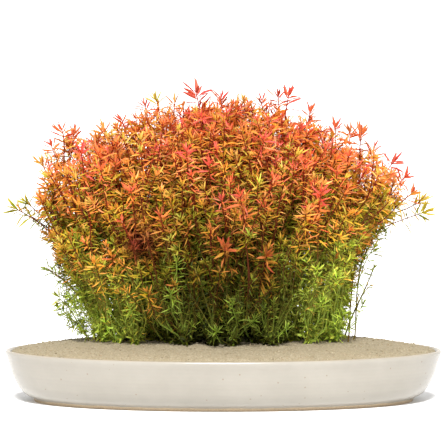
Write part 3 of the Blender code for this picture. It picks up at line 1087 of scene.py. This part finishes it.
def make_side_shoots(web, rng):
    """Side shoots whose tips fill the crown evenly."""
    up = np.array([0.0, 0.0, 1.0])
    made = 0
    for a, b in grid(0.060, 0.36, rng, OUTERMOST - 0.04):
        rho = math.hypot(a, b / CROWN_SHARE)
        high = rng.random() < 0.60
        inside = rho < 0.62 and not high
        if rho > 1.02 and abs(a) > 0.75 and rng.random() < 0.45:
            continue
        top = rng.uniform(0.82, 1.0) if high else rng.uniform(0.46, 0.82)
        line = squeeze(clump_line(a, b, np.array([top - 0.04, top])))
        tip = line[1]
        allowed = float(np.interp(tip[0], OUTLINE[:, 0], OUTLINE[:, 1])) - 0.003
        tip[2] = min(tip[2], GROUND + allowed + rng.uniform(-0.018, 0.0))
        way = unit(line[1] - line[0])
        out = unit(np.array([a, b / CROWN_SHARE * 0.9, 0.0]) + 1e-6)
        share = 0.10 + 0.60 * min(max(rho - 0.3, 0.0), 1.0) ** 1.3
        way = unit(way + up * 0.4 + out * share + 0.34 * np.array(
            [rng.gauss(0, 1), rng.gauss(0, 1), rng.gauss(0, 0.4)]))
        tip = tip + out * share * 0.008
        # inside shoots are darkened with painted shade
        side_shoot(web, tip, way, rng.uniform(0.036, 0.072), rng, start=0.08,
                   thick=0.70, mood=a_mood(rng), size=rng.uniform(0.84, 1.10),
                   heart=rng.uniform(0.3, 0.9) if rng.random() < 0.25 else 0.0,
                   cuts=INNER if inside else OUTER if high else BODY,
                   dark=0.12 if inside else 0.0)
        made += 1
    return made


def make_inner(web, rng):
    """Side shoots with broader leaves in the middle of the clump, darker with painted shade."""
    for k in range(780):
        a = rng.uniform(-1.02, 1.02)
        s = rng.uniform(0.14, 0.93)
        if k >= 640:
            a, s = math.copysign(rng.uniform(0.42, 1.04), a), rng.uniform(0.28, 0.80)
        b = rng.uniform(-0.42, 0.42) * CROWN_SHARE * math.sqrt(max(0.05, 1.0 - a * a * 0.8))
        line = squeeze(clump_line(a, b, np.array([s - 0.03, s])))
        way = unit(unit(line[1] - line[0]) + 0.5 * np.array(
            [rng.gauss(0, 1), rng.gauss(0, 1), rng.gauss(0, 0.4)]))
        side_shoot(web, line[1], way, rng.uniform(0.040, 0.062), rng, start=0.06,
                   thick=0.66, mood=rng.gauss(-0.06, 0.08), size=1.15,
                   broad=0.92 if s > 0.7 else 1.12 if s > 0.5 else 1.30,
                   cuts=(0.0, 0.0, 0.0, 0.002), gap=1.25,
                   dark=0.05 if s > 0.7 else 0.18 if abs(a) > 0.5 else 0.26)


def make_young(order, rng):
    """Short fine shoots that stand between the feet of the stems."""
    made = 0
    for sprig in order:
        a, b = sprig.place
        rho = math.hypot(a, b / CROWN_SHARE)
        outer = rho > 0.80
        for _ in range(11 if outer else 9):
            height = rng.uniform(0.012, 0.074)
            reach = rng.uniform(0.005, 0.024)
            away = math.atan2(b / CROWN_SHARE, a) + rng.uniform(-1.7, 1.7)
            foot = sprig.main[4].copy()
            foot[2] = min(foot[2], sprig.main[2][2] + 0.004) + rng.uniform(0.0, 0.006)
            t = np.linspace(0, 1, 20)[:, None]
            out = np.array([math.cos(away), math.sin(away) * 0.8, 0.0])
            line = foot + out * reach * (1.3 * t - 0.3 * t * t) + np.array([0, 0, height]) * t ** 1.2
            side = np.array([-out[1], out[0], 0.0]) * rng.uniform(-0.005, 0.005)
            line = squeeze(line + side * np.sin(t * 3.0))
            grow(sprig, line, rng, start=0.04, thick=0.46, size=rng.uniform(0.74, 0.96),
                 fresh=rng.uniform(0.0, 0.75) if outer else rng.uniform(0.0, 0.35),
                 mood=rng.uniform(-0.04, 0.10), keep=(1.0, 0.95), gap=0.86, broad=0.92,
                 cuts=BODY if outer else (0.0, 0.0, 0.0, 0.004), ring=0.012)
            made += 1
        # leafy ends hardly above the sand, darkened with painted shade
        for _ in range(9):
            away = rng.uniform(0.0, 2 * math.pi)
            reach, height = rng.uniform(0.003, 0.016), rng.uniform(0.007, 0.020)
            t = np.linspace(0, 1, 12)[:, None]
            out = np.array([math.cos(away), math.sin(away) * 0.8, 0.0])
            foot = sprig.main[2] - np.array((0.0, 0.0, 0.001))
            line = squeeze(foot + out * reach * t + np.array([0, 0, height]) * t ** 1.1)
            grow(sprig, line, rng, start=0.0, thick=0.5, size=0.80, broad=1.35, gap=1.3,
                 mood=rng.uniform(-0.06, 0.04), cuts=(0.0, 0.0, 0.0, 0.002), ring=0.012,
                 dark=0.15)
    return made


# Bare stems that stand clear of the clump low at its sides, by the pixels that
# they pass, with their depth: they leave a sprig's foot under the sand
BARE = [
    (0.004, [(355, 345), (356, 318), (357, 290), (361, 264), (371, 242), (384, 224)]),
    (-0.012, [(349, 346), (350, 312), (353, 278), (357, 252), (368, 228)]),
    (0.016, [(343, 344), (352, 316), (364, 292), (374, 268)]),
    (-0.010, [(90, 346), (84, 330), (73, 320), (60, 315)]),
    (0.006, [(112, 345), (108, 328), (99, 315), (88, 305), (76, 299), (65, 301), (57, 304)]),
    (-0.004, [(96, 345), (92, 322), (84, 302), (74, 290), (62, 279), (48, 270)]),
    (0.010, [(93, 346), (89, 336), (81, 329), (70, 327)]),
    (-0.014, [(100, 345), (97, 318), (90, 288), (80, 262), (66, 244)]),
]


def make_bare(order, web, rng):
    feet = np.array([s.main[1] for s in order])
    for y, pixels in BARE:
        corners = np.array([at_pixel(px, py, y) for px, py in pixels])
        corners[0, 2] = float(sand_height(corners[0, 0], corners[0, 1])) - 0.004
        sprig = order[int(np.hypot(*(feet[:, :2] - corners[0, :2]).T).argmin())]
        root = sprig.main[0] - np.array((0.0, 0.0, 0.001))
        root[2] = min(root[2], corners[0, 2])
        line, _ = resample(np.concatenate([root[None], corners]), 0.003)
        for _ in range(6):
            line[1:-1] = line[1:-1] * 0.5 + (line[:-2] + line[2:]) * 0.25
        right = pixels[0][0] > 224
        grow(sprig, line, rng, start=0.12, thick=0.90 if right else 0.72, mood=0.0,
             keep=(1.0, 0.45 if right else 1.0), gap=0.8 if right else 0.66, broad=0.85,
             size=1.05, stem=rng.uniform(0.28, 0.42), heart=0.12)
        web.add(sprig, line[6:])
    web.close()


# The clump's outline low at its left and right: rows and their columns
FRINGES = [
    (-1, 118, (232, 250, 266, 284, 300, 318, 332, 341), (44, 52, 56, 64, 62, 64, 76, 87)),
    (1, 64, (232, 250, 266, 284, 304, 322, 341), (386, 372, 365, 360, 358, 357, 357)),
]


def make_fringe(web, rng):
    """Short fine shoots that stand out low at the left and right."""
    for turn, count, rows, columns in FRINGES:
        for _ in range(count):
            row = rng.uniform(232, 338)
            column = float(np.interp(row, rows, columns)) - turn * (2 + rng.random() * 34)
            tip = at_pixel(column, row, rng.uniform(-0.030, 0.030))
            high = row < 278
            lean = math.radians(rng.gauss(30 if high else 52, 18)) * turn
            way = unit(np.array([math.sin(lean), rng.gauss(0, 0.35), math.cos(lean)]))
            side_shoot(web, tip, way, rng.uniform(0.022, 0.042), rng, start=0.04,
                       thick=0.45, mood=rng.uniform(0.0, 0.26) if high else rng.uniform(-0.06, 0.08),
                       size=rng.uniform(1.0, 1.3), broad=0.85, gap=0.85,
                       fresh=0.0 if high else rng.uniform(0.1, 0.9), cuts=BODY)


# Tips that stand out, by the pixel where they show: column, row, depth (None is
# the clump's front), lean in degrees, turn to the front, length in mm, mood,
# size, breadth, yellow-green heart, greenness
TIPS = [
    (197, 93, -0.012, -14, 0.1, 56, 0.42, 1.26, 1.36, 0.0, 0.0),
    (156, 100, -0.010, -12, 0.1, 50, 0.10, 1.00, 1.10, 0.9, 0.0),
    (145, 106, 0.004, -20, 0.1, 46, 0.12, 0.95, 1.00, 0.0, 0.0),
    (176, 103, 0.010, 4, 0.1, 44, 0.05, 0.95, 1.00, 0.3, 0.0),
    (222, 98, 0.006, 8, 0.1, 44, 0.10, 1.00, 1.05, 0.0, 0.0),
    (244, 101, -0.006, -6, 0.1, 44, 0.02, 0.95, 1.00, 0.4, 0.0),
    (262, 101, 0.008, 4, 0.1, 44, 0.08, 0.95, 1.00, 0.0, 0.0),
    (277, 96, 0.000, -4, 0.1, 46, 0.16, 1.00, 1.10, 0.0, 0.0),
    (288, 94, -0.010, 12, 0.1, 50, 0.20, 1.00, 1.15, 0.0, 0.0),
    (310, 112, 0.006, 14, 0.1, 44, 0.10, 0.95, 1.00, 0.0, 0.0),
    (336, 127, -0.006, 12, 0.1, 46, 0.08, 0.98, 1.05, 0.0, 0.0),
    (350, 131, 0.008, 8, 0.1, 46, 0.10, 1.00, 1.05, 0.3, 0.0),
    (361, 132, -0.010, 16, 0.1, 50, 0.06, 1.00, 1.05, 0.0, 0.0),
    (375, 147, 0.004, 28, 0.1, 46, 0.10, 0.98, 1.00, 0.0, 0.0),
    (394, 162, -0.010, 46, 0.1, 54, 0.32, 1.08, 1.20, 0.0, 0.0),
    (404, 177, 0.008, 44, 0.1, 52, 0.22, 1.00, 1.00, 0.0, 0.0),
    (413, 192, -0.004, 46, 0.1, 56, 0.16, 1.00, 1.00, 0.0, 0.0),
    (421, 201, 0.008, 52, 0.05, 58, -0.02, 1.05, 1.00, 0.6, 0.0),
    (424, 212, -0.010, 70, 0.05, 62, -0.10, 1.12, 1.00, 0.4, 0.0),
    (62, 130, -0.008, -14, 0.1, 52, 0.06, 1.00, 1.05, 0.0, 0.0),
    (74, 133, 0.008, -4, 0.1, 46, 0.10, 0.98, 1.00, 0.0, 0.0),
    (98, 138, 0.000, -10, 0.1, 46, 0.08, 0.98, 1.00, 0.3, 0.0),
    (122, 120, -0.004, -16, 0.1, 46, 0.12, 0.98, 1.00, 0.0, 0.0),
    (51, 146, -0.006, -20, 0.1, 50, 0.12, 0.98, 1.05, 0.0, 0.0),
    (42, 163, 0.006, -28, 0.1, 52, 0.10, 1.00, 1.00, 0.4, 0.0),
    (45, 180, -0.008, -30, 0.1, 48, 0.02, 1.00, 1.00, 0.0, 0.0),
    (41, 200, -0.012, -38, 0.1, 54, 0.20, 1.02, 1.10, 0.0, 0.0),
    (26, 202, 0.006, -50, 0.05, 60, -0.10, 1.05, 1.05, 0.6, 0.0),
    (16, 209, -0.008, -64, 0.05, 64, -0.14, 1.14, 1.05, 0.4, 0.0),
    (30, 216, 0.010, -62, 0.05, 52, -0.06, 1.02, 1.00, 0.3, 0.0),
    (47, 234, -0.004, -44, 0.1, 46, 0.10, 0.95, 1.00, 0.0, 0.0),
    (46, 268, -0.014, -62, 0.1, 60, -0.04, 0.92, 0.90, 0.0, 0.2),
    (60, 255, 0.000, -44, 0.2, 48, 0.20, 0.98, 1.05, 0.0, 0.0),
    (57, 296, -0.010, -54, 0.1, 46, 0.06, 0.92, 0.95, 0.4, 0.2),
    (60, 309, 0.004, -58, 0.1, 42, 0.06, 0.86, 0.90, 0.0, 0.5),
    (70, 320, -0.008, -48, 0.1, 34, 0.02, 0.80, 0.85, 0.0, 0.6),
    (389, 217, -0.004, 58, 0.1, 54, -0.12, 1.05, 0.95, 0.5, 0.3),
    (380, 232, 0.006, 44, 0.1, 50, -0.14, 1.05, 0.95, 0.3, 0.5),
    (374, 248, -0.006, 36, 0.1, 50, -0.06, 1.00, 0.95, 0.3, 0.4),
    (361, 262, -0.008, 14, 0.28, 34, 0.00, 0.84, 0.90, 0.5, 0.4),
    (370, 286, -0.006, 44, 0.1, 30, 0.20, 0.62, 0.85, 0.0, 0.0),
    (364, 304, 0.006, 44, 0.1, 26, 0.00, 0.62, 0.85, 0.0, 0.4),
    (225, 247, None, 0, 0.90, 58, 0.34, 1.30, 1.75, 0.0, 0.0),
    (266, 255, None, 6, 0.80, 50, 0.32, 1.18, 1.60, 0.0, 0.0),
    (240, 196, None, -2, 0.45, 52, 0.24, 1.08, 1.35, 0.0, 0.0),
    (247, 212, None, 6, 0.50, 46, 0.20, 1.02, 1.25, 0.0, 0.0),
    (321, 193, None, 12, 0.40, 56, 0.34, 1.12, 1.45, 0.0, 0.0),
    (305, 212, None, 6, 0.50, 48, 0.14, 1.02, 1.20, 0.3, 0.0),
    (350, 156, None, 16, 0.50, 48, 0.14, 1.02, 1.20, 0.0, 0.0),
    (79, 151, None, -16, 0.50, 50, 0.26, 1.05, 1.40, 0.0, 0.0),
    (101, 168, None, -12, 0.50, 46, 0.16, 1.00, 1.20, 0.0, 0.0),
    (132, 190, None, -12, 0.50, 46, 0.16, 1.00, 1.20, 0.0, 0.0),
    (186, 150, None, -4, 0.40, 46, 0.22, 1.02, 1.25, 0.0, 0.0),
    (262, 138, None, 2, 0.40, 46, 0.20, 1.02, 1.25, 0.0, 0.0),
    (208, 165, None, 0, 0.45, 46, 0.22, 1.02, 1.25, 0.0, 0.0),
    (160, 215, None, -8, 0.50, 46, 0.20, 1.00, 1.20, 0.0, 0.0),
    (148, 291, None, 0, 0.60, 44, 0.34, 0.98, 1.20, 0.0, 0.0),
    (112, 256, None, -8, 0.60, 46, 0.26, 1.00, 1.25, 0.0, 0.0),
    (95, 262, None, -14, 0.50, 44, 0.26, 0.98, 1.20, 0.0, 0.0),
    (140, 268, None, -4, 0.55, 44, 0.02, 1.00, 1.15, 0.6, 0.0),
    (198, 272, None, -4, 0.70, 44, 0.16, 1.02, 1.25, 0.3, 0.0),
    (300, 240, None, 6, 0.55, 46, 0.16, 1.00, 1.15, 0.2, 0.0),
    (339, 236, None, 14, 0.50, 48, 0.08, 1.00, 1.10, 0.2, 0.0),
    (345, 262, None, 12, 0.50, 44, 0.04, 0.98, 1.05, 0.4, 0.0),
    (318, 268, None, 4, 0.60, 42, 0.00, 0.98, 1.05, 0.5, 0.0),
    (171, 292, None, -2, 0.50, 40, 0.00, 1.00, 1.05, 0.0, 1.0),
    (232, 302, None, 2, 0.50, 38, 0.00, 0.96, 1.00, 0.0, 1.0),
    (177, 260, None, 2, 0.55, 38, 0.00, 0.92, 1.00, 0.0, 0.9),
    (288, 326, None, 8, 0.55, 30, 0.00, 0.92, 0.95, 0.0, 0.9),
    (216, 330, None, -4, 0.55, 28, 0.00, 0.90, 0.95, 0.0, 0.9),
    (105, 322, None, -10, 0.55, 30, 0.00, 0.90, 0.95, 0.0, 0.8),
    (255, 318, None, 2, 0.55, 30, 0.00, 0.90, 0.95, 0.0, 0.7),
    (130, 306, None, -6, 0.55, 32, 0.02, 0.90, 0.95, 0.0, 0.7),
    (322, 300, None, 6, 0.55, 34, 0.02, 0.92, 0.95, 0.0, 0.6),
    (345, 312, None, 14, 0.50, 32, 0.02, 0.90, 0.90, 0.0, 0.7),
]


def make_tips(web, rng, rows):
    """The shoots whose tips stand out, each where it shows from the front."""
    for px, py, y, lean, front, mm, mood, size, broad, heart, green in TIPS:
        if py not in rows:
            continue
        if y is None:
            flat = at_pixel(px, py, -0.05)
            y = web.front(flat[0], flat[2]) - 0.011
        tip = at_pixel(px, py, y)
        a = math.radians(lean)
        way = unit(np.array([math.sin(a), -front / max(1e-6, 1.0 - 0.5 * front),
                             math.cos(a)]))
        facing = front > 0.3
        # those in front of the leaves show their bare dark stem below them
        long = facing and py < 285
        low = py > 250 and broad < 1.3
        # painted shade darkens the tips that do not face the front, and low facing ones a little
        side_shoot(web, tip, way, mm * MM * (1.75 if long else 1.0), rng,
                   start=0.42 if long else 0.06, thick=0.80, mood=mood,
                   size=size * (1.40 if not facing else 0.98 if low else 1.16),
                   broad=broad * (0.90 if facing else 1.22), heart=heart,
                   fresh=green * (0.8 if low else 1.0), gap=0.8 if facing else 0.9,
                   lean_add=6.0 if facing else 0.0,
                   dark=0.14 if not facing else 0.10 if low else 0.0,
                   big=1.0, cuts=HERO)


# ------------------------------------------------------------- dish and sand
def section_points(section, per):
    """A smooth line through a section's points, corners kept by doubling."""
    pts = np.array(section)
    far = np.concatenate([[0.0], np.cumsum(np.linalg.norm(np.diff(pts, axis=0), axis=1))])
    at = []
    for lo, hi in zip(far, far[1:]):
        count = max(1, int(round((hi - lo) / per)))
        at += list(np.linspace(lo, hi, count, endpoint=False))
    at.append(far[-1])
    raw = np.stack([np.interp(at, far, pts[:, k]) for k in range(2)], 1)
    for _ in range(2):
        inner = raw.copy()
        inner[1:-1] = raw[1:-1] * 0.6 + (raw[:-2] + raw[2:]) * 0.2
        raw = inner
    return raw


def make_pot(paint):
    around = 168
    section = POT_UNDER[::1] + POT_OUTSIDE + POT_LIP + POT_INSIDE
    foot = np.array(POT_UNDER + [POT_OUTSIDE[0]])
    rest = section_points(POT_OUTSIDE[1:] + POT_LIP + POT_INSIDE, 0.0024)
    corner = np.array([(-0.02665, 0.0), (-0.02635, 0.00025)])
    line = np.concatenate([foot[:1], [(-0.0373, 0.0003)], [(-0.0369, 0.0)],
                           corner, rest])
    angle = np.arange(around) * 2 * math.pi / around
    rings = [np.stack([(RIM_A + out) * np.cos(angle), (RIM_B + out) * np.sin(angle),
                       np.full(around, z)], 1) for out, z in line]
    points = np.concatenate(rings + [np.array([[0, 0, line[0][1]]]), np.array([[0, 0, line[-1][1]]])])
    count = len(line)
    i, k = np.meshgrid(np.arange(count - 1), np.arange(around), indexing="ij")
    i, k = i.ravel(), k.ravel()
    j = (k + 1) % around
    quads = np.stack([i * around + k, i * around + j, (i + 1) * around + j, (i + 1) * around + k], 1)
    a = np.arange(around)
    b = (a + 1) % around
    low, high, last = count * around, count * around + 1, (count - 1) * around
    tris = np.concatenate([
        np.stack([np.full(around, low), b, a], 1),
        np.stack([last + a, last + b, np.full(around, high)], 1),
    ])
    mesh = mesh_from("dish", points, quads, tris)
    mesh.set_sharp_from_angle(angle=math.radians(50))
    mesh.materials.append(paint)
    obj = bpy.data.objects.new("dish", mesh)
    bpy.context.scene.collection.objects.link(obj)
    return obj


def make_sand(paint):
    around, rings_top = 260, 56
    below = [(out - WALL_GAP * 1.4, z + WALL_GAP) for out, z in reversed(POT_INSIDE)][:-1]
    rings = []
    angle = np.arange(around) * 2 * math.pi / around
    for out, z in below:
        rings.append(np.stack([(RIM_A + out) * np.cos(angle), (RIM_B + out) * np.sin(angle),
                               np.full(around, z)], 1))
    rings.append(np.stack([SAND_A * np.cos(angle), SAND_B * np.sin(angle),
                           np.full(around, SAND_EDGE_Z - 0.0006)], 1))
    first = len(rings)
    shares = 1.0 - (np.arange(rings_top) + 0.35) / (rings_top + 0.6)
    for share in shares:
        x, y = SAND_A * share * np.cos(angle), SAND_B * share * np.sin(angle)
        rings.append(np.stack([x, y, sand_height(x, y)], 1))
    points = np.concatenate(rings + [np.array([[0, 0, below[0][1]]]),
                                     np.array([[0, 0, float(sand_height(0.0, 0.0))]])])
    count = len(rings)
    for k in range(first * around, count * around):
        x, y, z = points[k]
        rho = math.hypot(x / SAND_A, y / SAND_B)
        fade = min(1.0, (1.0 - rho) / 0.02)
        bumps = 0.55 * noise.noise(Vector((x, y, z)) * 90.0) + 0.45 * noise.noise(Vector((x, y, z)) * 330.0)
        grit = noise.noise(Vector((x, y, 0.3)) * 820.0)
        points[k, 2] += fade * (0.0007 * bumps + 0.00042 * grit)
    i, k = np.meshgrid(np.arange(count - 1), np.arange(around), indexing="ij")
    i, k = i.ravel(), k.ravel()
    j = (k + 1) % around
    quads = np.stack([i * around + k, i * around + j, (i + 1) * around + j, (i + 1) * around + k], 1)
    a = np.arange(around)
    b = (a + 1) % around
    low, high, last = count * around, count * around + 1, (count - 1) * around
    tris = np.concatenate([
        np.stack([np.full(around, low), b, a], 1),
        np.stack([last + a, last + b, np.full(around, high)], 1),
    ])
    mesh = mesh_from("sand_surface", points, quads, tris)
    mesh.materials.append(paint)
    obj = bpy.data.objects.new("sand_surface", mesh)
    bpy.context.scene.collection.objects.link(obj)
    return obj


def make_grains(paint):
    """Loose grains on the sand: rough twelve-cornered stones, half sunk."""
    rng = np.random.default_rng(3)
    phi = (1 + math.sqrt(5)) / 2
    corners = unit(np.array([
        (-1, phi, 0), (1, phi, 0), (-1, -phi, 0), (1, -phi, 0), (0, -1, phi), (0, 1, phi),
        (0, -1, -phi), (0, 1, -phi), (phi, 0, -1), (phi, 0, 1), (-phi, 0, -1), (-phi, 0, 1),
    ], float))
    faces = np.array([
        (0, 11, 5), (0, 5, 1), (0, 1, 7), (0, 7, 10), (0, 10, 11), (1, 5, 9), (5, 11, 4),
        (11, 10, 2), (10, 7, 6), (7, 1, 8), (3, 9, 4), (3, 4, 2), (3, 2, 6), (3, 6, 8),
        (3, 8, 9), (4, 9, 5), (2, 4, 11), (6, 2, 10), (8, 6, 7), (9, 8, 1),
    ])
    n = 1800
    share = np.sqrt(rng.uniform(0.0, 0.985, n))
    turn = rng.uniform(0, 2 * math.pi, n)
    x, y = SAND_A * share * np.cos(turn), SAND_B * share * np.sin(turn)
    z = sand_height(x, y)
    size = rng.uniform(0.00042, 0.00085, n) * np.where(rng.random(n) < 0.06, 1.5, 1.0)
    shape = corners[None] * (1.0 + rng.normal(0, 0.13, (n, 12, 1)))
    shape = shape * size[:, None, None] * rng.uniform(0.75, 1.2, (n, 1, 3))
    points = shape + np.stack([x, y, z + size * 0.25], 1)[:, None]
    tris = (faces[None] + (np.arange(n) * 12)[:, None, None]).reshape(-1, 3)
    shade = np.repeat(rng.uniform(0, 1, n), 12)
    mesh = mesh_from("sand_grains", points.reshape(-1, 3), np.zeros((0, 4), int), tris,
                     numbers={"shade": shade})
    mesh.set_sharp_from_angle(angle=math.radians(35))
    mesh.materials.append(paint)
    obj = bpy.data.objects.new("sand_grains", mesh)
    bpy.context.scene.collection.objects.link(obj)
    return obj


# ----------------------------------------------------------------- building
leaf_paint, stem_paint = leaf_material(), stem_material()
rng = random.Random(23)
order, web, long_count = make_sprigs(rng)
side_count = make_side_shoots(web, rng)
make_inner(web, rng)
young_count = make_young(order, rng)
make_tips(web, rng, range(0, 240))
make_bare(order, web, rng)
make_fringe(web, rng)
make_tips(web, rng, range(240, 447))

total = 0
for sprig in order:
    piece = sprig_object(sprig, sprig.name.replace("stem", "sprig"), stem_paint, leaf_paint)
    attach(piece, "root")
    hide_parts(sprig.name)
    total += sum(len(p.vertices) - 2 for p in piece.data.polygons)
print("foliage triangles", total,
      "leaves", sum(len(rows) for s in order for rows in s.leaves.values()),
      "long", long_count, "side", side_count, "young_green_and_painted_light", young_count, "tips", len(TIPS))

dish = make_pot(glaze_material())
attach(dish, "root")
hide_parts("pot")

sand = make_sand(sand_material("sand"))
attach(sand, "root")
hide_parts("sand_bed")
grains = make_grains(sand_material("sand_grain", grains=True))
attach(grains, "root")

# ------------------------------------------------ floor, lights and camera
bpy.ops.mesh.primitive_plane_add(size=60.0, location=(0.0, 0.0, 0.0))
floor = bpy.context.object
floor.name = "floor"
floor_paint, floor_tree = new_material("floor")
floor_body = floor_tree.nodes.new("ShaderNodeBsdfPrincipled")
floor_body.inputs["Base Color"].default_value = (0.985, 0.985, 0.985, 1.0)
floor_body.inputs["Roughness"].default_value = 0.9
floor_body.inputs["Specular IOR Level"].default_value = 0.0
floor_out = floor_tree.nodes.new("ShaderNodeOutputMaterial")
floor_tree.links.new(floor_body.outputs[0], floor_out.inputs["Surface"])
floor.data.materials.append(floor_paint)

world = bpy.data.worlds.new("studio")
bpy.context.scene.world = world
world.use_nodes = True
# a white studio whose ceiling is dimmer than its walls
sky = world.node_tree
direction = sky.nodes.new("ShaderNodeSeparateXYZ")
sky.links.new(sky.nodes.new("ShaderNodeTexCoord").outputs["Generated"], direction.inputs[0])
sky.links.new(
    ramp(sky, [(0.0, (1.0, 1.0, 1.0)), (0.24, (1.0, 1.0, 1.0)), (0.58, (0.50, 0.50, 0.50))],
         direction.outputs["Z"]),
    sky.nodes["Background"].inputs["Color"],
)
sky.nodes["Background"].inputs["Strength"].default_value = 1.45


# one broad lamp far off, high in front
lamp_data = bpy.data.lights.new("key", "SUN")
lamp_data.energy, lamp_data.angle = 6.3, math.radians(14.0)
lamp = bpy.data.objects.new("key", lamp_data)
lamp.location = (-0.04, -1.62, 1.76)
lamp.rotation_euler = (Vector((0, 0, 0.1)) - lamp.location).to_track_quat("-Z", "Y").to_euler()
bpy.context.scene.collection.objects.link(lamp)

camera_data = bpy.data.cameras.new("camera")
camera = bpy.data.objects.new("camera", camera_data)
bpy.context.scene.collection.objects.link(camera)
camera_data.sensor_width = 36.0
camera_data.lens = 36.0 * DISTANCE / (447 * PIXEL)
camera_data.clip_start, camera_data.clip_end = 0.05, 100.0
target = Vector((0.0, 0.0, TARGET_Z))
camera.location = target + DISTANCE * Vector((0.0, -math.cos(ELEVATION), math.sin(ELEVATION)))
camera.rotation_euler = (target - camera.location).to_track_quat("-Z", "Y").to_euler()
bpy.context.scene.camera = camera
bpy.context.scene.view_settings.view_transform = "Standard"
